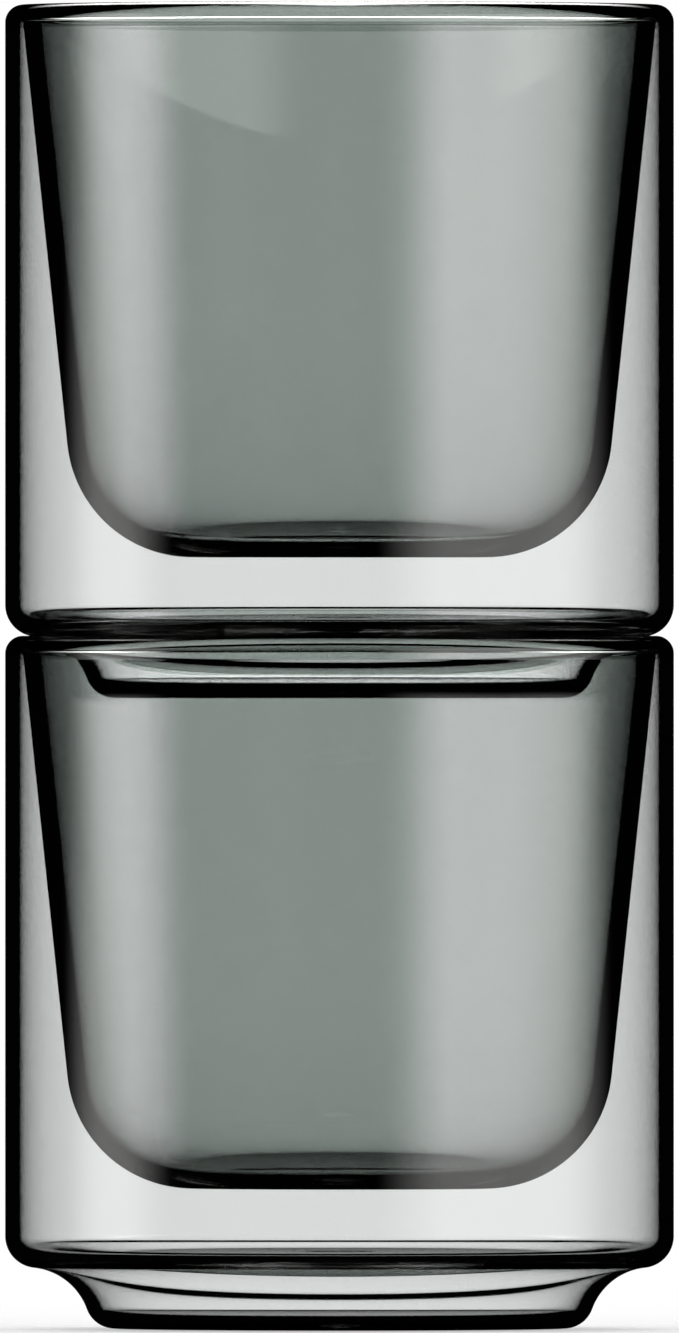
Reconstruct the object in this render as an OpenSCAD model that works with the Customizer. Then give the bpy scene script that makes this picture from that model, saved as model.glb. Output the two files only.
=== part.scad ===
// Two stacking double-wall espresso glasses, the upper standing with its foot in the mouth of the lower.
// Each glass is an outer shell and an inner bowl, fused under a half-round rim bead, with a sealed air gap
// between them and a vent plug in the foot. Millimetres, +Z up, origin at the centre of the lower foot.

/* [Outer shell] */
// Outside diameter of the straight body
body_diameter = 64; // [52:0.5:90]
// Height of one glass, from the foot to the top of the rim
glass_height = 66.3; // [52:0.1:95]
// Wall of the shell, the same round the body, the cove and the foot
shell_wall = 1.4; // [1:0.05:1.9]
// Outside radius of the shoulder under the body
shoulder_radius = 3.05; // [2.2:0.05:5]
// Turn of the shoulder, in degrees from the upright wall to the start of the cove
shoulder_turn = 84; // [74:1:88]
// Height of the shoulder's lowest point over the table
foot_height = 5.8; // [4:0.1:8]
// Outside radius of the foot's bottom corner
foot_corner_radius = 2.8; // [2.1:0.05:3.6]

/* [Inner bowl] */
// Wall of the bowl
bowl_wall = 1.7; // [1.2:0.05:2.4]
// Thickness of the bowl's floor
bowl_floor = 1.5; // [1:0.05:2.4]
// Taper of the bowl's side, in degrees from upright
bowl_taper = 6; // [2:0.5:9]
// Outside radius of the bowl's bottom corner
bowl_corner_radius = 11; // [6:0.5:14]
// Air gap between the bowl's floor and the foot's floor
base_gap = 12; // [6:0.1:18]
// Air gap between the bowl and the shell, just under the rim bead
rim_gap = 0.3; // [0.1:0.05:1]

/* [Stacking] */
// Gap between the upper glass's shoulder and the lower glass's rim
seat_clearance = 0.1; // [0.05:0.05:0.5]
// Radial play between the foot and the mouth of the glass below
foot_play = 4.25; // [2:0.05:6]

/* [Vent plug] */
// Diameter of the pressure hole through the foot's floor
vent_diameter = 4; // [2:0.1:6]
// Diameter of the counterbore that takes the plug's head
vent_head_diameter = 6.5; // [6.2:0.1:12]
// Depth of the counterbore
vent_head_depth = 0.7; // [0.4:0.05:0.9]
// Gap between the plug's head and the table
vent_recess = 0.15; // [0.05:0.05:0.3]
// Radial gap between the plug and its hole
vent_clearance = 0.05; // [0.02:0.01:0.1]

/* [Hidden] */
$fn = 128;

shell_colour = [0.85, 0.87, 0.86, 0.45];
bowl_colour = [0.51, 0.55, 0.53, 0.65];
bead_colour = [0.60, 0.64, 0.62, 0.65];
plug_colour = [0.90, 0.91, 0.90, 0.80];

// How far a cutting shape runs past the face that it cuts
overcut = 1;
// Most degrees between two points of an arc
arc_step = 4;

// Rim: the bead spans both walls and the air gap between them
body_radius = body_diameter / 2;
rim_width = shell_wall + rim_gap + bowl_wall / cos(bowl_taper);
rim_radius = rim_width / 2;
weld_height = glass_height - rim_radius;
rim_centre = [body_radius - rim_radius, weld_height];
rim_gap_centre = [body_radius - shell_wall - rim_gap / 2, weld_height];

// Foot: it clears the mouth of the glass below by its play
mouth_radius = body_radius - rim_width;
foot_radius = mouth_radius - foot_play;
foot_corner = [foot_radius - foot_corner_radius, foot_corner_radius];
shoulder = [body_radius - shoulder_radius, foot_height + shoulder_radius];

// Cove: the arc that touches the shoulder where its turn ends, and the foot's corner
cove_way = [cos(shoulder_turn), -sin(shoulder_turn)];
corner_to_shoulder = shoulder - foot_corner;
corner_growth = foot_corner_radius - shoulder_radius;
cove_reach = (corner_growth ^ 2 - corner_to_shoulder * corner_to_shoulder)
    / (2 * (corner_to_shoulder * cove_way - corner_growth));
cove_radius = cove_reach - shoulder_radius;
cove = shoulder + cove_reach * cove_way;
cove_angle = atan2(cove.y - foot_corner.y, cove.x - foot_corner.x);

// Bowl: it hangs from the rim and its floor stays clear of the foot's floor
bowl_base = shell_wall + base_gap;
bowl_mouth = body_radius - shell_wall - rim_gap;

// Stack: the upper shoulder rests on the lower rim, arc on arc
seat_reach = shoulder_radius + rim_radius + seat_clearance;
seat_offset = rim_centre.x - shoulder.x;
stack_pitch = weld_height + sqrt(seat_reach ^ 2 - seat_offset ^ 2) - shoulder.y;

// The point at a distance and an angle from a centre
function polar(centre, reach, angle) = centre + reach * [cos(angle), sin(angle)];

// Centre of the bowl's bottom corner, on the outline that lies a wall and a floor inside the outer one
function bowl_corner(wall, floor) =
    let (
        radius = bowl_corner_radius - wall,
        height = bowl_base + floor + radius,
        drop = weld_height - height
    )
    [bowl_mouth - (wall + radius + drop * sin(bowl_taper)) / cos(bowl_taper), height];

// Points along an arc, without the first and last few if some are to be skipped
function arc(centre, radius, start, end, skip = 0) =
    let (steps = ceil(abs(end - start) / arc_step))
    [for (step = [skip:steps - skip]) polar(centre, radius, start + (end - start) * step / steps)];

// Half outline of the shell, an inset inside its outer face: foot, cove, shoulder and straight body
module shell_outline(inset, top) {
    polygon(concat(
        [[0, inset]],
        arc(foot_corner, foot_corner_radius - inset, -90, cove_angle),
        arc(cove, cove_radius + inset, cove_angle + 180, 180 - shoulder_turn, skip = 1),
        arc(shoulder, shoulder_radius - inset, -shoulder_turn, 0),
        [[body_radius - inset, top], [0, top]]
    ));
}

// Half outline of the bowl, a wall and a floor inside its outer face
module bowl_outline(wall, floor, top) {
    radius = bowl_corner_radius - wall;
    corner = bowl_corner(wall, floor);
    mouth = bowl_mouth - wall / cos(bowl_taper) + (top - weld_height) * tan(bowl_taper);
    polygon(concat(
        [[0, bowl_base + floor]],
        arc(corner, radius, -90, -bowl_taper),
        [[mouth, top], [0, top]]
    ));
}

// Stepped pressure hole in the foot's floor, as a half outline
module vent_outline() {
    translate([0, -overcut])
        square([vent_diameter / 2, shell_wall + 2 * overcut]);
    translate([0, -overcut])
        square([vent_head_diameter / 2, vent_head_depth + overcut]);
}

module outer_shell() {
    rotate_extrude()
        difference() {
            shell_outline(0, weld_height);
            shell_outline(shell_wall, weld_height + overcut);
            vent_outline();
        }
}

module inner_bowl() {
    rotate_extrude()
        difference() {
            bowl_outline(0, 0, weld_height);
            bowl_outline(bowl_wall, bowl_floor, weld_height + overcut);
        }
}

// Half-round bead on both walls, hollowed where it closes the air gap
module rim_bead() {
    rotate_extrude()
        difference() {
            intersection() {
                translate(rim_centre)
                    circle(rim_radius);
                translate([0, weld_height])
                    square([body_radius + overcut, rim_radius + overcut]);
            }
            translate(rim_gap_centre)
                circle(rim_gap / 2);
        }
}

// Plug with its head in the counterbore and its shank flush with the foot's floor
module vent_plug() {
    translate([0, 0, vent_recess]) {
        cylinder(r = vent_head_diameter / 2 - vent_clearance, h = vent_head_depth - vent_recess);
        cylinder(r = vent_diameter / 2 - vent_clearance, h = shell_wall - vent_recess);
    }
}

module upper() {
    translate([0, 0, stack_pitch])
        children();
}

module lower_outer_shell() {
    color(shell_colour)
        outer_shell();
}

module lower_inner_bowl() {
    color(bowl_colour)
        inner_bowl();
}

module lower_rim_bead() {
    color(bead_colour)
        rim_bead();
}

module lower_vent_plug() {
    color(plug_colour)
        vent_plug();
}

module upper_outer_shell() {
    color(shell_colour)
        upper()
            outer_shell();
}

module upper_inner_bowl() {
    color(bowl_colour)
        upper()
            inner_bowl();
}

module upper_rim_bead() {
    color(bead_colour)
        upper()
            rim_bead();
}

module upper_vent_plug() {
    color(plug_colour)
        upper()
            vent_plug();
}

lower_outer_shell();
lower_inner_bowl();
lower_rim_bead();
lower_vent_plug();
upper_outer_shell();
upper_inner_bowl();
upper_rim_bead();
upper_vent_plug();
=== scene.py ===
# %% [markdown]
# # A stack of double-wall espresso glasses
#
# Each glass is two blown cups, one inside the other, melted together at the rim. The outer shell is
# nearly clear and the inner bowl is smoke grey. The solids that carry, fit and move are loaded first,
# as a frame that stays as it is, and the glass that is seen is then turned on a lathe around the same
# axis.

# %% Load the frame
import math

import bmesh
import bpy
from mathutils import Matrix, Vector


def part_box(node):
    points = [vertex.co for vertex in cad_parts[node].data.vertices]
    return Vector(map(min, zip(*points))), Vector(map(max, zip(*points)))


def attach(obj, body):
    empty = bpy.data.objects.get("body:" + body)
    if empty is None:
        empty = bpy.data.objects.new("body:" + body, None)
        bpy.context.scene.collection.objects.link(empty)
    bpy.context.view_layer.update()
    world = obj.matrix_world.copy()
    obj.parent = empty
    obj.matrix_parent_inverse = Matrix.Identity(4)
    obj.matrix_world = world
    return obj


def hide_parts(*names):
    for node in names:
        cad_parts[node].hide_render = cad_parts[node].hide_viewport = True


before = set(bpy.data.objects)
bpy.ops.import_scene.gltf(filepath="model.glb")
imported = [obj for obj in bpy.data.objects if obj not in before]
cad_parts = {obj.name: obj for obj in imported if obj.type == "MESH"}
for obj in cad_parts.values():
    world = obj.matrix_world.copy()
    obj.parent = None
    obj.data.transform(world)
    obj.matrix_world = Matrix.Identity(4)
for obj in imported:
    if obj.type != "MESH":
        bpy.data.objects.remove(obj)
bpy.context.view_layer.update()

# %% [markdown]
# ## Sizes
#
# What can be read off the frame is read off it: the body's radius, the height where the two cups are
# melted together, and how far one glass stands above the other. Walls and radii don't show in a box, so
# they are written here as they are in the solids. Only the bowl's bottom corner is a millimetre rounder
# here, because the photograph shows it so.

# %% Sizes of one glass, in metres
MM = 0.001

shell_low, shell_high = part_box("lower_outer_shell")
bowl_low, bowl_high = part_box("lower_inner_bowl")
bead_low, bead_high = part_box("lower_rim_bead")
upper_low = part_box("upper_outer_shell")[0]

BODY_RADIUS = shell_high.x
WELD_HEIGHT = shell_high.z
BOWL_BASE = bowl_low.z
BOWL_MOUTH = bowl_high.x
RIM_WIDTH = 2 * (bead_high.z - bead_low.z)
STACK_PITCH = upper_low.z - shell_low.z

SHELL_WALL = 1.4 * MM
SHOULDER_RADIUS = 3.05 * MM
SHOULDER_TURN = 84
FOOT_HEIGHT = 5.8 * MM
FOOT_CORNER_RADIUS = 2.8 * MM
FOOT_PLAY = 4.25 * MM
BOWL_WALL = 1.7 * MM
BOWL_FLOOR = 1.5 * MM
BOWL_TAPER = math.radians(6)
BOWL_CORNER_RADIUS = 12 * MM
VENT_RADIUS = 2 * MM
VENT_HEAD_RADIUS = 3.25 * MM
VENT_HEAD_DEPTH = 0.7 * MM
PLUG_RECESS = 0.15 * MM
PLUG_CLEARANCE = 0.05 * MM
PLUG_ROUNDING = 0.15 * MM

# The seam between the rim and the two walls lies a little under the bead, where all walls are straight
SEAM_DROP = 0.6 * MM
SEAM_HEIGHT = WELD_HEIGHT - SEAM_DROP
print("Pitch of the stack:", round(STACK_PITCH / MM, 2), "mm")

# %% [markdown]
# ## Wall sections
#
# Cut a glass from rim to foot and the cut faces show its whole design. A section is a list of points in
# the plane of the cut, as distance from the axis and height. Straight stretches and arcs each leave out
# their last point, so that they can be strung together. Fine steps matter here: glass bends light by
# the slope of its surface, and a coarse arc would show as stripes. A straight stretch has a point close
# to each of its ends, so that the round beside it doesn't tilt the slope further in.

# %% Straight stretches and arcs
LINE_STEP = 6 * MM
END_STEP = 0.2 * MM
SHORTEST_WITH_ENDS = 4 * END_STEP
ARC_STEP = 2.5
TINY_ARC_STEP = 10


def line(start, end):
    """Points from start up to, but not including, end."""
    start = Vector(start)
    end = Vector(end)
    length = (end - start).length
    steps = max(1, math.ceil(length / LINE_STEP))
    shares = {step / steps for step in range(steps)}
    if length > SHORTEST_WITH_ENDS:
        shares = shares | {END_STEP / length, 1 - END_STEP / length}
    return [start.lerp(end, share) for share in sorted(shares)]


def polar(centre, radius, degrees):
    """The point at a distance and an angle from a centre."""
    turn = math.radians(degrees)
    return Vector(centre) + radius * Vector((math.cos(turn), math.sin(turn)))


def arc(centre, radius, start, end, step_angle=ARC_STEP):
    """Points of an arc from the start angle up to, but not including, the end angle."""
    steps = max(1, math.ceil(abs(end - start) / step_angle))
    return [polar(centre, radius, start + (end - start) * step / steps) for step in range(steps)]


print(len(arc((0, 0), 1, 0, 90)), "points in a quarter turn")

# %% [markdown]
# The shell runs from the vent hole out along the foot, round its corner, up the hollow cove, round the
# shoulder and up the straight wall, then all the way back one wall thickness further in. The cove is
# the one arc that touches both the shoulder and the foot's corner, so its radius is worked out and not
# chosen.

# %% Section of the outer shell
shoulder = Vector((BODY_RADIUS - SHOULDER_RADIUS, FOOT_HEIGHT + SHOULDER_RADIUS))
foot_corner = Vector((BODY_RADIUS - RIM_WIDTH - FOOT_PLAY - FOOT_CORNER_RADIUS, FOOT_CORNER_RADIUS))

cove_way = polar((0, 0), 1, -SHOULDER_TURN)
corner_to_shoulder = shoulder - foot_corner
corner_growth = FOOT_CORNER_RADIUS - SHOULDER_RADIUS
cove_reach = (corner_growth ** 2 - corner_to_shoulder.length_squared) / (
    2 * (corner_to_shoulder.dot(cove_way) - corner_growth)
)
cove = shoulder + cove_reach * cove_way
cove_radius = cove_reach - SHOULDER_RADIUS
cove_angle = math.degrees(math.atan2(cove.y - foot_corner.y, cove.x - foot_corner.x))


def shell_section():
    """Closed section of the shell: outer skin upwards, seam, inner skin downwards, vent hole."""
    inner_radius = BODY_RADIUS - SHELL_WALL
    return (
        line((VENT_HEAD_RADIUS, 0), (foot_corner.x, 0))
        + arc(foot_corner, FOOT_CORNER_RADIUS, -90, cove_angle)
        + arc(cove, cove_radius, cove_angle + 180, 180 - SHOULDER_TURN)
        + arc(shoulder, SHOULDER_RADIUS, -SHOULDER_TURN, 0)
        + line((BODY_RADIUS, shoulder.y), (BODY_RADIUS, SEAM_HEIGHT))
        + line((BODY_RADIUS, SEAM_HEIGHT), (inner_radius, SEAM_HEIGHT))
        + line((inner_radius, SEAM_HEIGHT), (inner_radius, shoulder.y))
        + arc(shoulder, SHOULDER_RADIUS - SHELL_WALL, 0, -SHOULDER_TURN)
        + arc(cove, cove_radius + SHELL_WALL, 180 - SHOULDER_TURN, cove_angle + 180)
        + arc(foot_corner, FOOT_CORNER_RADIUS - SHELL_WALL, cove_angle, -90)
        + line((foot_corner.x, SHELL_WALL), (VENT_RADIUS, SHELL_WALL))
        + line((VENT_RADIUS, SHELL_WALL), (VENT_RADIUS, VENT_HEAD_DEPTH))
        + line((VENT_RADIUS, VENT_HEAD_DEPTH), (VENT_HEAD_RADIUS, VENT_HEAD_DEPTH))
        + line((VENT_HEAD_RADIUS, VENT_HEAD_DEPTH), (VENT_HEAD_RADIUS, 0))
    )


print("Cove radius:", round(cove_radius / MM, 2), "mm")
print(len(shell_section()), "points in the shell's section")

# %% [markdown]
# The bowl's side leans in by its taper and meets the floor in a large round corner. Both skins follow
# the same rule, the inner one a wall and a floor further in. The section starts and ends on the axis.

# %% Section of the inner bowl
TAPER_DEGREES = math.degrees(BOWL_TAPER)


def bowl_side(wall, height):
    """Radius of the bowl's side at a height, a wall inside its outer skin."""
    return BOWL_MOUTH - wall / math.cos(BOWL_TAPER) - (WELD_HEIGHT - height) * math.tan(BOWL_TAPER)


def bowl_corner(wall, floor):
    """Centre and radius of the bottom corner's arc, a wall and a floor inside the outer skin."""
    radius = BOWL_CORNER_RADIUS - wall
    height = BOWL_BASE + floor + radius
    return Vector((bowl_side(wall, height) - radius / math.cos(BOWL_TAPER), height)), radius


def bowl_section():
    """Open section of the bowl: underside and outer skin upwards, seam, inner skin downwards."""
    outer_corner, outer_radius = bowl_corner(0, 0)
    inner_corner, inner_radius = bowl_corner(BOWL_WALL, BOWL_FLOOR)
    outer_top = (bowl_side(0, SEAM_HEIGHT), SEAM_HEIGHT)
    inner_top = (bowl_side(BOWL_WALL, SEAM_HEIGHT), SEAM_HEIGHT)
    outer_foot = polar(outer_corner, outer_radius, -TAPER_DEGREES)
    inner_foot = polar(inner_corner, inner_radius, -TAPER_DEGREES)
    floor_height = BOWL_BASE + BOWL_FLOOR
    return (
        line((0, BOWL_BASE), (outer_corner.x, BOWL_BASE))
        + arc(outer_corner, outer_radius, -90, -TAPER_DEGREES)
        + line(outer_foot, outer_top)
        + line(outer_top, inner_top)
        + line(inner_top, inner_foot)
        + arc(inner_corner, inner_radius, -TAPER_DEGREES, -90)
        + line((inner_corner.x, floor_height), (0, floor_height))
        + [Vector((0, floor_height))]
    )


print(len(bowl_section()), "points in the bowl's section")

# %% [markdown]
# The rim is one round arc that touches the upright shell on one side and the leaning bowl on the other.
# Under it, a second arc of the same kind closes the air gap. A circle that touches an upright line and
# one that leans from it by the taper, a width apart, has the radius worked out in the function below.

# %% Section of the rim bead
RIM_GAP = BODY_RADIUS - SHELL_WALL - BOWL_MOUTH


def touching_radius(width):
    """Radius of the circle between an upright line and one that leans by the taper."""
    return width * math.cos(BOWL_TAPER) / (1 + math.cos(BOWL_TAPER))


def rim_section():
    """Closed section of the rim: over the top, down the bowl's side, and back round the air gap."""
    rim_radius = touching_radius(RIM_WIDTH)
    gap_radius = touching_radius(RIM_GAP)
    rim_centre = Vector((BODY_RADIUS - rim_radius, WELD_HEIGHT))
    gap_centre = Vector((BODY_RADIUS - SHELL_WALL - gap_radius, WELD_HEIGHT))
    lean_end = 180 - TAPER_DEGREES
    shell_inside = (BODY_RADIUS - SHELL_WALL, SEAM_HEIGHT)
    bowl_inside = (bowl_side(BOWL_WALL, SEAM_HEIGHT), SEAM_HEIGHT)
    bowl_outside = (bowl_side(0, SEAM_HEIGHT), SEAM_HEIGHT)
    return (
        line((BODY_RADIUS, SEAM_HEIGHT), (BODY_RADIUS, WELD_HEIGHT))
        + arc(rim_centre, rim_radius, 0, lean_end)
        + line(polar(rim_centre, rim_radius, lean_end), bowl_inside)
        + line(bowl_inside, bowl_outside)
        + line(bowl_outside, polar(gap_centre, gap_radius, lean_end))
        + arc(gap_centre, gap_radius, lean_end, 0, TINY_ARC_STEP)
        + line((BODY_RADIUS - SHELL_WALL, WELD_HEIGHT), shell_inside)
        + line(shell_inside, (BODY_RADIUS, SEAM_HEIGHT))
    )


print(len(rim_section()), "points in the rim's section")

# %% [markdown]
# A double-wall glass is closed while hot, so its foot has a small hole that lets the air out, and a
# silicone plug that closes the hole for good. The head lies in a counterbore, just clear of the table,
# and its edges are rounded as moulded rubber is.

# %% Section of the vent plug


def plug_section():
    """Open section of the plug: under the head, round its edge, up the shank and over its top."""
    head = VENT_HEAD_RADIUS - PLUG_CLEARANCE
    shank = VENT_RADIUS - PLUG_CLEARANCE
    low_edge = Vector((head - PLUG_ROUNDING, PLUG_RECESS + PLUG_ROUNDING))
    high_edge = Vector((head - PLUG_ROUNDING, VENT_HEAD_DEPTH - PLUG_ROUNDING))
    top_edge = Vector((shank - PLUG_ROUNDING, SHELL_WALL - PLUG_ROUNDING))
    return (
        line((0, PLUG_RECESS), (low_edge.x, PLUG_RECESS))
        + arc(low_edge, PLUG_ROUNDING, -90, 0, TINY_ARC_STEP)
        + line((head, low_edge.y), (head, high_edge.y))
        + arc(high_edge, PLUG_ROUNDING, 0, 90, TINY_ARC_STEP)
        + line((high_edge.x, VENT_HEAD_DEPTH), (shank, VENT_HEAD_DEPTH))
        + line((shank, VENT_HEAD_DEPTH), (shank, top_edge.y))
        + arc(top_edge, PLUG_ROUNDING, 0, 90, TINY_ARC_STEP)
        + line((top_edge.x, SHELL_WALL), (0, SHELL_WALL))
        + [Vector((0, SHELL_WALL))]
    )


print(len(plug_section()), "points in the plug's section")

# %% [markdown]
# ## Nodes as sums
#
# Shader maths reads better as a sum than as a list of links. This class wraps one output of a node.
# Adding, taking away and multiplying it adds Math nodes, and its one method adds any other node to the
# same tree.

# %% A socket that takes part in sums


class Socket:
    """One output of a node, with arithmetic that adds Math nodes to its tree."""

    def __init__(self, tree, output=None):
        self.tree = tree
        self.output = output

    def add(self, kind, settings=None, inputs=None, output=0):
        """Adds a node, sets it, fills its sockets with values or links, and gives one of its outputs."""
        node = self.tree.nodes.new(kind)
        for name, value in (settings or {}).items():
            setattr(node, name, value)
        for name, value in (inputs or {}).items():
            if isinstance(value, Socket):
                self.tree.links.new(value.output, node.inputs[name])
            else:
                node.inputs[name].default_value = value
        return Socket(self.tree, node.outputs[output] if node.outputs else None)

    def math(self, operation, *values):
        """A Math node of these values."""
        return self.add("ShaderNodeMath", {"operation": operation}, dict(enumerate(values)))

    def __add__(self, other):
        return self.math("ADD", self, other)

    __radd__ = __add__

    def __mul__(self, other):
        return self.math("MULTIPLY", self, other)

    __rmul__ = __mul__

    def __sub__(self, other):
        return self.math("SUBTRACT", self, other)

    def __rsub__(self, other):
        return self.math("SUBTRACT", other, self)


print("Sockets can be added, taken away and multiplied")

# %% [markdown]
# Most sums here are masks: numbers between 0 and 1 that say how much of something there is at a place.
# A soft step is an edge of such a mask and a soft window is a stretch between two edges. A mask then
# mixes two colours or two shaders.

# %% Masks and mixes


def part_of(vector, axis):
    """The part of a vector along an axis."""
    return vector.add("ShaderNodeSeparateXYZ", inputs={"Vector": vector}, output=axis)


def soft_step(value, low, high):
    """A soft change from 0 at low to 1 at high."""
    return value.add(
        "ShaderNodeMapRange",
        {"interpolation_type": "SMOOTHSTEP"},
        {"Value": value, "From Min": low, "From Max": high},
    )


def soft_window(value, low, high, edge):
    """1 between two limits, with soft edges."""
    return soft_step(value, low - edge, low + edge) * soft_step(value, high + edge, high - edge)


# A Mix node has sockets of one name for each type of data, so those for colour go by number
FIRST_COLOUR = 6
SECOND_COLOUR = 7
MIXED_COLOUR = 2


def mix_colour(start, factor, first, second):
    """A colour between two, by a factor."""
    inputs = {"Factor": factor, FIRST_COLOUR: first, SECOND_COLOUR: second}
    return start.add("ShaderNodeMix", {"data_type": "RGBA"}, inputs, MIXED_COLOUR)


def mix_shaders(start, factor, first, second):
    """A shader between two, by a factor."""
    return start.add("ShaderNodeMixShader", inputs={0: factor, 1: first, 2: second})


def new_material(name):
    """A material with an empty node tree, and a start for adding nodes to it."""
    material = bpy.data.materials.new(name)
    material.use_nodes = True
    material.node_tree.nodes.clear()
    return material, Socket(material.node_tree)


print("Masks:", soft_step.__name__, "and", soft_window.__name__)

# %% [markdown]
# ## Glass
#
# The tint is written as what one wall lets through: the shader gives half of it to each of the wall's
# two skins. Blown glass is never quite even. It gathers towards the foot, where the tint is a little
# deeper, it keeps faint upright cords from the gathering, and its skin is a little wavy around. The
# broad dark edges of the photographed glass need a dense glass, so the index is that of crystal and not
# that of window glass.

# %% Glass finishes
HEIGHT_ATTRIBUTE = "height_share"
GLASS_IOR = 1.73
SHELL_TINT = (0.978, 0.989, 0.984, 1)
SHELL_FOOT_TINT = (0.972, 0.985, 0.980, 1)
BOWL_TINT = (0.680, 0.722, 0.700, 1)
BOWL_FOOT_TINT = (0.625, 0.666, 0.645, 1)
GATHERED_BETWEEN = (0.55, 0.1)
CORD_SHARE = 0.03
CORD_FINENESS = (160, 160, 9)
CORD_DETAIL = 3.0
WAVE_FINENESS = (45, 45, 2)
WAVE_DETAIL = 1.0
WAVE_HEIGHT = 0.008 * MM


def drawn_noise(start, place, fineness, detail):
    """Noise that is finer along some axes than along others."""
    stretched = start.add("ShaderNodeVectorMath", {"operation": "MULTIPLY"}, {0: place, 1: fineness})
    return start.add("ShaderNodeTexNoise", inputs={"Vector": stretched, "Scale": 1.0, "Detail": detail})


def make_glass(name, tint, foot_tint):
    """Polished glass, a little deeper in tint towards the foot, with cords and waves."""
    material, start = new_material(name)
    place = start.add("ShaderNodeTexCoord", output="Object")
    height = start.add("ShaderNodeAttribute", {"attribute_name": HEIGHT_ATTRIBUTE}, output="Fac")
    gathered = soft_step(height, *GATHERED_BETWEEN)
    even_tint = mix_colour(start, gathered, tint, foot_tint)
    cords = drawn_noise(start, place, CORD_FINENESS, CORD_DETAIL)
    thinning = 1 - CORD_SHARE * cords
    tinted = start.add("ShaderNodeVectorMath", {"operation": "SCALE"}, {0: even_tint, "Scale": thinning})
    waves = drawn_noise(start, place, WAVE_FINENESS, WAVE_DETAIL)
    skin = start.add("ShaderNodeBump", inputs={"Strength": 1.0, "Distance": WAVE_HEIGHT, "Height": waves})
    shader = start.add(
        "ShaderNodeBsdfPrincipled",
        inputs={
            "Base Color": tinted,
            "Normal": skin,
            "Roughness": 0.0,
            "IOR": GLASS_IOR,
            "Transmission Weight": 1.0,
        },
    )
    start.add("ShaderNodeOutputMaterial", inputs={"Surface": shader})
    return material


shell_glass = make_glass("pale_shell_glass", SHELL_TINT, SHELL_FOOT_TINT)
bowl_glass = make_glass("smoke_bowl_glass", BOWL_TINT, BOWL_FOOT_TINT)
print("Glass:", shell_glass.name, "and", bowl_glass.name, "with an index of", GLASS_IOR)

# %% [markdown]
# Where the rim meets the walls the real glass is one melt. The seam's faces are there only because the
# solids are separate pieces, so they let light straight on. The plug is clear moulded silicone with a
# satin skin, which a fine grain and a little dust keep from looking even.

# %% Seam and silicone
GRAIN_FINENESS = 2500
GRAIN_DETAIL = 3.0
DUST_FINENESS = 600
DUST_DETAIL = 2.0
SILICONE_COLOUR = (0.80, 0.82, 0.81, 1)
DUST_COLOUR = (0.90, 0.91, 0.90, 1)
SATIN_ROUGHNESS = 0.22
GRAIN_ROUGHNESS = 0.12
SILICONE_IOR = 1.41
SILICONE_CLEARNESS = 0.9


def make_seam():
    """The faces where two pieces of one melt meet."""
    material, start = new_material("melted_seam")
    shader = start.add("ShaderNodeBsdfTransparent")
    start.add("ShaderNodeOutputMaterial", inputs={"Surface": shader})
    return material


def make_silicone():
    """Clear moulded silicone with a satin skin."""
    material, start = new_material("clear_silicone")
    place = start.add("ShaderNodeTexCoord", output="Object")
    grain = start.add(
        "ShaderNodeTexNoise", inputs={"Vector": place, "Scale": GRAIN_FINENESS, "Detail": GRAIN_DETAIL}
    )
    dust = start.add(
        "ShaderNodeTexNoise", inputs={"Vector": place, "Scale": DUST_FINENESS, "Detail": DUST_DETAIL}
    )
    colour = mix_colour(start, dust, SILICONE_COLOUR, DUST_COLOUR)
    shader = start.add(
        "ShaderNodeBsdfPrincipled",
        inputs={
            "Base Color": colour,
            "Roughness": SATIN_ROUGHNESS + GRAIN_ROUGHNESS * grain,
            "IOR": SILICONE_IOR,
            "Transmission Weight": SILICONE_CLEARNESS,
        },
    )
    start.add("ShaderNodeOutputMaterial", inputs={"Surface": shader})
    return material


melted_seam = make_seam()
silicone = make_silicone()
print("Other finishes:", melted_seam.name, "and", silicone.name)

# %% [markdown]
# ## The lathe
#
# All pieces of a glass are turned: a section carried round the axis. In Geometry Nodes that is a circle
# as the path and the section as the profile. The section is drawn standing up, where a saw would show
# it, and laid over into the path's plane first. Rings that close on the axis are merged into one point,
# and edges sharper than the limit stay sharp, so that a flat seam doesn't tilt the slopes of the walls
# beside it.

# %% Lathe tree
RIGHT_ANGLE = math.pi / 2
SEGMENTS = 256
MERGE_DISTANCE = 0.0005 * MM
SHARP_EDGE = math.radians(35)
SEAM_REACH = 0.001 * MM

LATHE_INPUTS = {
    "Section": "NodeSocketGeometry",
    "Path Radius": "NodeSocketFloat",
    "Base Height": "NodeSocketFloat",
    "Segments": "NodeSocketInt",
    "Glass Height": "NodeSocketFloat",
    "Seam Height": "NodeSocketFloat",
    "Glass": "NodeSocketMaterial",
    "Seam": "NodeSocketMaterial",
}


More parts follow.
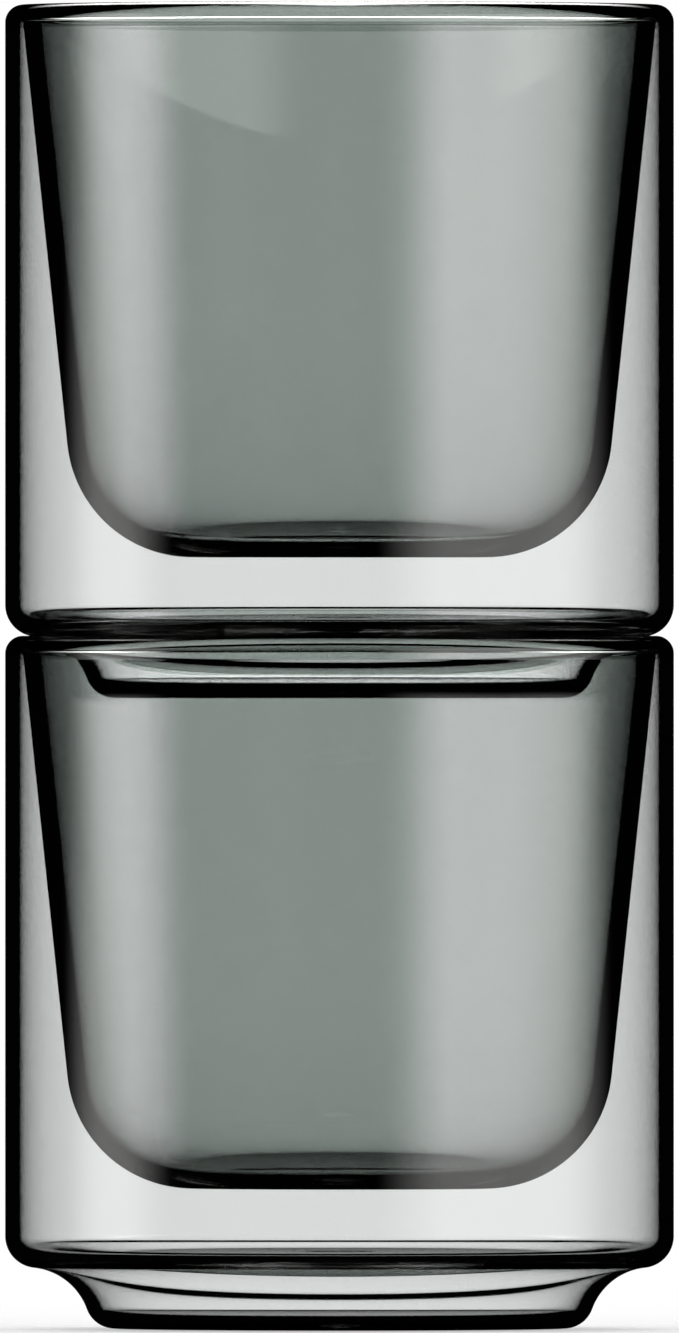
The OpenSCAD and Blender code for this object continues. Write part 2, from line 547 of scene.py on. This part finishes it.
def make_lathe():
    """The tree that turns a section round the axis, with its inputs' identifiers by name."""
    tree = bpy.data.node_groups.new("glass_lathe", "GeometryNodeTree")
    identifiers = {}
    for name, kind in LATHE_INPUTS.items():
        socket = tree.interface.new_socket(name=name, in_out="INPUT", socket_type=kind)
        identifiers[name] = socket.identifier
    tree.interface.new_socket(name="Glass", in_out="OUTPUT", socket_type="NodeSocketGeometry")
    inputs = tree.nodes.new("NodeGroupInput")
    given = {name: Socket(tree, inputs.outputs[name]) for name in LATHE_INPUTS}
    start = Socket(tree)

    shift = start.add(
        "ShaderNodeCombineXYZ",
        inputs={"X": -1 * given["Path Radius"], "Y": -1 * given["Base Height"]},
    )
    laid_over = start.add(
        "GeometryNodeTransform",
        inputs={"Geometry": given["Section"], "Translation": shift, "Rotation": (RIGHT_ANGLE, 0, 0)},
    )
    profile = start.add("GeometryNodeMeshToCurve", inputs={"Mesh": laid_over})
    circle = start.add(
        "GeometryNodeCurvePrimitiveCircle",
        inputs={"Resolution": given["Segments"], "Radius": given["Path Radius"]},
    )
    path = start.add("GeometryNodeSetCurveNormal", {"mode": "Z_UP"}, {"Curve": circle})
    turned = start.add("GeometryNodeCurveToMesh", inputs={"Curve": path, "Profile Curve": profile})
    merged = start.add(
        "GeometryNodeMergeByDistance", inputs={"Geometry": turned, "Distance": MERGE_DISTANCE}
    )

    angle = start.add("GeometryNodeInputMeshEdgeAngle")
    is_soft = start.math("LESS_THAN", angle, SHARP_EDGE)
    smooth_faces = start.add("GeometryNodeSetShadeSmooth", {"domain": "FACE"}, {"Geometry": merged})
    smooth = start.add(
        "GeometryNodeSetShadeSmooth",
        {"domain": "EDGE"},
        {"Geometry": smooth_faces, "Shade Smooth": is_soft},
    )

    position = start.add("GeometryNodeInputPosition")
    height = part_of(position, "Z")
    seam_height = given["Seam Height"] + given["Base Height"]
    on_seam = start.math("COMPARE", height, seam_height, SEAM_REACH)
    height_share = start.math("DIVIDE", height - given["Base Height"], given["Glass Height"])
    marked = start.add(
        "GeometryNodeStoreNamedAttribute",
        {"data_type": "FLOAT", "domain": "POINT"},
        {"Geometry": smooth, "Name": HEIGHT_ATTRIBUTE, "Value": height_share},
    )
    whole = start.add("GeometryNodeRealizeInstances", inputs={"Geometry": marked})
    glazed = start.add("GeometryNodeSetMaterial", inputs={"Geometry": whole, "Material": given["Glass"]})
    seamed = start.add(
        "GeometryNodeSetMaterial",
        inputs={"Geometry": glazed, "Selection": on_seam, "Material": given["Seam"]},
    )
    start.add("NodeGroupOutput", inputs={"Glass": seamed})
    return tree, identifiers


lathe, lathe_identifiers = make_lathe()
print("Lathe tree:", len(lathe.nodes), "nodes")

# %% [markdown]
# A turned piece ends as a plain mesh that points outwards, at the origin, with its place in its points.
# Each piece tells how many faces it has, how much material it takes, and how many edges are left open,
# which is to be none.

# %% Turn one piece


def turn_piece(name, section, closed, base_height, glass):
    """Turns a section into a named piece of glass that stands at a height."""
    outline = bpy.data.meshes.new(name + "_section")
    edges = [(index, index + 1) for index in range(len(section) - 1)]
    if closed:
        edges.append((len(section) - 1, 0))
    outline.from_pydata([(point.x, 0, point.y) for point in section], edges, [])
    blank = bpy.data.objects.new(name + "_section", outline)
    bpy.context.scene.collection.objects.link(blank)

    modifier = blank.modifiers.new("lathe", "NODES")
    modifier.node_group = lathe
    settings = {
        "Path Radius": BODY_RADIUS,
        "Base Height": base_height,
        "Segments": SEGMENTS,
        "Glass Height": bead_high.z,
        "Seam Height": SEAM_HEIGHT,
        "Glass": glass,
        "Seam": melted_seam,
    }
    for label, value in settings.items():
        modifier[lathe_identifiers[label]] = value
    depsgraph = bpy.context.evaluated_depsgraph_get()
    mesh = bpy.data.meshes.new_from_object(blank.evaluated_get(depsgraph))
    bpy.data.objects.remove(blank)

    solid = bmesh.new()
    solid.from_mesh(mesh)
    if solid.calc_volume(signed=True) < 0:
        bmesh.ops.reverse_faces(solid, faces=solid.faces)
    volume = solid.calc_volume(signed=True)
    open_edges = sum(edge.is_boundary for edge in solid.edges)
    solid.to_mesh(mesh)
    solid.free()

    mesh.name = name
    piece = bpy.data.objects.new(name, mesh)
    bpy.context.scene.collection.objects.link(piece)
    print(name, len(mesh.polygons), "faces,", round(volume / MM ** 3), "mm3,", open_edges, "open edges")
    return piece


# %% [markdown]
# ## Both glasses
#
# Glasses of one kind stack because the foot of each fits the mouth of the next. So the upper glass is
# the lower one again, one pitch higher, with its shoulder on the lower rim. Each piece rides on its own
# glass and takes the place of the solid of its name, which is hidden, so that lifting the upper glass
# takes all four of its pieces along.

# %% Both glasses
BASE_HEIGHTS = {"lower": 0.0, "upper": STACK_PITCH}

for body, base_height in BASE_HEIGHTS.items():
    parts = {
        "outer_shell": (shell_section(), True, shell_glass, "shell_glass"),
        "inner_bowl": (bowl_section(), False, bowl_glass, "bowl_glass"),
        "rim_bead": (rim_section(), True, bowl_glass, "bowl_glass"),
        "vent_plug": (plug_section(), False, silicone, "clear_silicone"),
    }
    for part, (section, closed, glass, slot) in parts.items():
        node = f"{body}_{part}"
        piece = turn_piece(f"{node}_turned", section, closed, base_height, glass)
        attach(piece, f"{body}_glass")
        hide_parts(node)

# %% [markdown]
# ## Light
#
# Glass is seen by what it lets through and by what it mirrors. Straight through its walls comes the
# white of the paper it stands on, dimmed by the tint. A photographer keeps the rest of the room dark,
# because an edge that mirrors the dark is drawn as a clean black line, and then adds a few soft lights,
# which show as pale stripes.
#
# The table says where each light stands as seen from the glass: its side in degrees from the camera, to
# the right, its height in degrees over the horizon, the softness of its sides and of its lower and
# upper edge, its level, and the fewest and most skins of glass that its light crosses on the way to the
# camera. The outermost skin mirrors light that crosses none. A light that goes on behind the glass ends
# past 180 degrees, so that it has no soft edge there. At eye level all boxes have a narrow gap. The
# upright walls mirror it at the height of the camera, where the upper foot hangs in the lower glass,
# and there no shine lies over the foot.

# %% Lights that the glass mirrors
LIGHTS = {
    "right box": ((26, 96), (-4, 8.5), (14, 4), 0.87, (0, 2)),
    "right box, high": ((26, 96), (8.5, 30), (14, 4), 1.3, (0, 6)),
    "left box": ((-101, -71), (-4, 8.5), (11, 4), 0.87, (0, 2)),
    "left box, high": ((-101, -71), (8.5, 30), (11, 4), 1.3, (0, 6)),
    "right lamp": ((98, 200), (34, 85), (3, 11), 9.0, (1, 2)),
    "left lamp": ((-200, -98), (34, 85), (3, 11), 9.0, (1, 2)),
    "right strip behind": ((164, 200), (26, 80), (6, 8), 8.0, (0, 0)),
    "left strip behind": ((-200, -164), (26, 80), (6, 8), 8.0, (0, 0)),
}
EYE_LEVEL_GAP = (-0.029, 0.046)
GAP_EDGE = 0.006
DARK_ROOM_LEVEL = 0.0005
print("Lights:", ", ".join(LIGHTS))

# %% [markdown]
# Blender counts how often light went through a surface and how often it was mirrored on its way from
# the camera. Each skin of the glass counts once.

# %% What light met on its way
# Skins and mirrors are counted in whole numbers, so a limit lies half a step beside them
HALF_STEP = 0.5
STEP_EDGE = 0.25


def light_path(start, output):
    """What is known of the way that light took so far."""
    return start.add("ShaderNodeLightPath", output=output)


def crossing(start, fewest, most):
    """1 where light has crossed so many skins of glass."""
    skins = light_path(start, "Transmission Depth")
    return soft_window(skins, fewest - HALF_STEP, most + HALF_STEP, STEP_EDGE)


def mirrored(start):
    """1 where light was mirrored at least once."""
    return start.math("GREATER_THAN", light_path(start, "Glossy Depth"), HALF_STEP)


print("A limit lies", HALF_STEP, "beside a count")

# %% [markdown]
# The world is lit by direction. A direction is turned into a side and a height in degrees, as the table
# has them, and each light is a window in both.

# %% Lights by direction
world = bpy.data.worlds.new("studio")
bpy.context.scene.world = world
world.use_nodes = True
world.node_tree.nodes.clear()
start = Socket(world.node_tree)

way = start.add("ShaderNodeTexCoord", output="Generated")
split = {axis: part_of(way, axis) for axis in "XYZ"}
side = start.math("DEGREES", start.math("ARCTAN2", split["X"], -1 * split["Y"]))
height = start.math("DEGREES", start.math("ARCSINE", split["Z"]))

boxes = 0.0
for sides, heights, (side_edge, height_edge), level, (fewest, most) in LIGHTS.values():
    lit = soft_window(side, *sides, side_edge) * soft_window(height, *heights, height_edge)
    boxes = boxes + level * lit * crossing(start, fewest, most)
studio = boxes * (1 - soft_window(height, *EYE_LEVEL_GAP, GAP_EDGE)) + DARK_ROOM_LEVEL
print(len(LIGHTS), "lights in the world")

# %% [markdown]
# A ray that was never mirrored sees plain white, and one that was mirrored sees the dark room and its
# lights. Matt surfaces are lit by an even white sky.

# %% World
WHITE = (1.0, 1.0, 1.0, 1.0)
WARM_WHITE = (1.0, 0.98, 0.97, 1.0)
PLAIN_LEVEL = 1.05

is_seen = light_path(start, "Is Camera Ray")
for kind in ("Is Glossy Ray", "Is Transmission Ray"):
    is_seen = start.math("MAXIMUM", is_seen, light_path(start, kind))
was_mirrored = mirrored(start)
backdrop = was_mirrored * studio + (1 - was_mirrored)
strength = is_seen * backdrop + (1 - is_seen) * PLAIN_LEVEL
colour = mix_colour(start, was_mirrored, WHITE, WARM_WHITE)
light = start.add("ShaderNodeBackground", inputs={"Color": colour, "Strength": strength})
start.add("ShaderNodeOutputWorld", inputs={"Surface": light})
print("World tree:", len(world.node_tree.nodes), "nodes")

# %% [markdown]
# ## Floor
#
# The glasses stand on white paper that runs on into the white behind them. A matt sheet alone would
# turn grey towards the back, so it fades into a plain white glow a hand's width away from the glasses,
# and stays mostly matt close to them, where it takes their shadow. It glows a little there too, in
# place of the light that real glass lets through to the paper. The real paper ends at the edge of the
# picture and the dark room begins there. The glass shows that in what it mirrors, so mirrored rays pass
# through the sheet.

# %% Flat sheets


def glow_of(start, colour):
    """A shader that glows in a colour."""
    return start.add("ShaderNodeEmission", inputs={"Color": colour, "Strength": 1.0})


def make_sheet(name, corners, material):
    """A flat sheet with four corners."""
    mesh = bpy.data.meshes.new(name)
    mesh.from_pydata(corners, [], [(0, 1, 2, 3)])
    mesh.materials.append(material)
    sheet = bpy.data.objects.new(name, mesh)
    bpy.context.scene.collection.objects.link(sheet)
    return sheet


print("Sheets:", make_sheet.__doc__)

# %% Floor
NEAR_GLOW = 0.45
FLOOR_FADE = (0.1, 0.3)
PAPER_COLOUR = (0.95, 0.95, 0.95, 1)
FLOOR_HALF = 3.0
FLOOR_DROP = 0.1 * MM

floor_material, start = new_material("pale_floor")
place = start.add("ShaderNodeTexCoord", output="Object")
distance = start.add("ShaderNodeVectorMath", {"operation": "LENGTH"}, {0: place}, output="Value")
glow_share = NEAR_GLOW + (1 - NEAR_GLOW) * soft_step(distance, *FLOOR_FADE)
matt = start.add("ShaderNodeBsdfDiffuse", inputs={"Color": PAPER_COLOUR})
paper = mix_shaders(start, glow_share, matt, glow_of(start, WHITE))
gone = start.add("ShaderNodeBsdfTransparent")
surface = mix_shaders(start, mirrored(start), paper, gone)
start.add("ShaderNodeOutputMaterial", inputs={"Surface": surface})

floor_corners = [
    (-FLOOR_HALF, -FLOOR_HALF, 0),
    (FLOOR_HALF, -FLOOR_HALF, 0),
    (FLOOR_HALF, FLOOR_HALF, 0),
    (-FLOOR_HALF, FLOOR_HALF, 0),
]
floor = make_sheet("floor", floor_corners, floor_material)
floor.location.z = -FLOOR_DROP
print("Floor", 2 * FLOOR_HALF, "m wide")

# %% [markdown]
# ## Backlight
#
# A glass of dark colour looks dull against even white, so photographers hang a sheet close behind it,
# with strips of light where the glass should glow. A grid over the sheet lets the light out straight
# ahead only. Here the strips are seen through the bowls, which takes eight skins, and lift the pale
# stripes that the shells mirror. The upper foot hangs in the smoky mouth of the lower glass and yet
# looks as bright as the lower foot in the photograph, so the light that crosses its twelve skins is
# raised too. Dark cards at both sides of each mouth take light away where the bowl is widest, so that
# its edges stay deep.
#
# All places on the sheet are in millimetres. A strip has its side, -1 for left and 1 for right, then
# where it starts and ends, as the distance from the axis at which it fades in and out, and its share of
# the full glow. A card fades in sideways from the axis, upwards from the foot of its glass, and ends at
# the rim.

# %% Strips and cards of the backlight
STRIPS = {
    "left strip": (-1, (16, 22), (24, 34.5), 1.0),
    "right strip": (1, (5.5, 12.5), (18.5, 34.5), 0.8),
}
CARD_SIDE = (27.5, 37)
CARD_FOOT = (29, 53)
CARD_TOP = (66, 69)
BOWL_SKINS = 8
FOOT_SKINS = 12
STRIP_COLOUR = (1.70, 1.57, 1.66, 1)
FOOT_COLOUR = (4.6, 4.1, 4.35, 1)
CARD_COLOUR = (0.52, 0.52, 0.52, 1)

sheet_material, start = new_material("backlight")
place = start.add("ShaderNodeTexCoord", output="Object")
across = part_of(place, "X") * (1 / MM)
up = part_of(place, "Z") * (1 / MM)

strips = 0.0
for side_sign, inner_edge, outer_edge, share in STRIPS.values():
    out = side_sign * across
    strips = strips + share * soft_step(out, *inner_edge) * (1 - soft_step(out, *outer_edge))

cards = 0.0
for base_height in BASE_HEIGHTS.values():
    above = up - base_height / MM
    cards = cards + soft_step(above, *CARD_FOOT) * (1 - soft_step(above, *CARD_TOP))
cards = cards * soft_step(start.math("ABSOLUTE", across), *CARD_SIDE)
print("Backlight with", " and ".join(STRIPS))

# %% [markdown]
# The grid is the slant at which light meets the sheet: past a small slant the sheet is gone, and so it
# is for light that was mirrored or that crossed another number of skins. The sheet shows through glass
# alone and lights nothing, so Blender needn't count it among the lamps.

# %% Sheet of the backlight
GRID_SLANT = (0.1, 0.2)
SHEET_BACK = 34 * MM
SHEET_HALF = 60 * MM
SHEET_TOP = 200 * MM

slant = start.add("ShaderNodeLayerWeight", output="Facing")
straight = (1 - soft_step(slant, *GRID_SLANT)) * (1 - mirrored(start))
through_bowl = straight * crossing(start, BOWL_SKINS, BOWL_SKINS)
through_foot = straight * crossing(start, FOOT_SKINS, FOOT_SKINS)
gone = start.add("ShaderNodeBsdfTransparent")
striped = mix_shaders(start, through_bowl * strips, gone, glow_of(start, STRIP_COLOUR))
carded = mix_shaders(start, through_bowl * cards, striped, glow_of(start, CARD_COLOUR))
surface = mix_shaders(start, through_foot, carded, glow_of(start, FOOT_COLOUR))
start.add("ShaderNodeOutputMaterial", inputs={"Surface": surface})
sheet_material.cycles.emission_sampling = "NONE"

sheet_corners = [
    (-SHEET_HALF, 0, 0),
    (SHEET_HALF, 0, 0),
    (SHEET_HALF, 0, SHEET_TOP),
    (-SHEET_HALF, 0, SHEET_TOP),
]
sheet = make_sheet("backlight", sheet_corners, sheet_material)
sheet.location.y = SHEET_BACK
print("Sheet", round(2 * SHEET_HALF / MM), "mm wide")

# %% [markdown]
# ## Camera
#
# The photograph is level and nearly without perspective: near and far rim fall on one line. A very long
# lens from far away gives that. The width of the body in the photograph says how much of the object one
# pixel shows, and the line that the foot stands on says how high the camera is.

# %% Camera
PHOTO_HEIGHT = 1333
BODY_WIDTH_PX = 670
FOOT_LINE_PX = 1328.4
LENS = 850
FRAME_SHARE = 0.998
SENSOR_HEIGHT = 18
CLIP_START = 0.1
CLIP_END = 20

pixel = 2 * BODY_RADIUS / BODY_WIDTH_PX / FRAME_SHARE
frame_height = PHOTO_HEIGHT * pixel
camera_data = bpy.data.cameras.new("camera")
camera_data.sensor_fit = "VERTICAL"
camera_data.sensor_height = SENSOR_HEIGHT
camera_data.lens = LENS
camera_data.clip_start = CLIP_START
camera_data.clip_end = CLIP_END
camera = bpy.data.objects.new("camera", camera_data)
distance_back = frame_height * LENS / SENSOR_HEIGHT
camera.location = (0, -distance_back, (FOOT_LINE_PX - PHOTO_HEIGHT / 2) * pixel)
camera.rotation_euler = (RIGHT_ANGLE, 0, 0)
bpy.context.scene.collection.objects.link(camera)
bpy.context.scene.camera = camera
print("Camera", round(distance_back, 2), "m away")

# %% [markdown]
# ## Bounces
#
# On its way through two double walls and a foot that hangs between them, light crosses more than a
# dozen skins. Blender stops a ray after a few, and what lies behind would turn black, so the limits are
# raised. The view is plain, so that a colour renders as it is written.

# %% View and bounces
MOST_BOUNCES = 32
MOST_MIRRORINGS = 12

scene = bpy.context.scene
scene.view_settings.view_transform = "Standard"
scene.cycles.max_bounces = MOST_BOUNCES
scene.cycles.transmission_bounces = MOST_BOUNCES
scene.cycles.transparent_max_bounces = MOST_BOUNCES
scene.cycles.glossy_bounces = MOST_MIRRORINGS
print("Up to", MOST_BOUNCES, "bounces")

# %% [markdown]
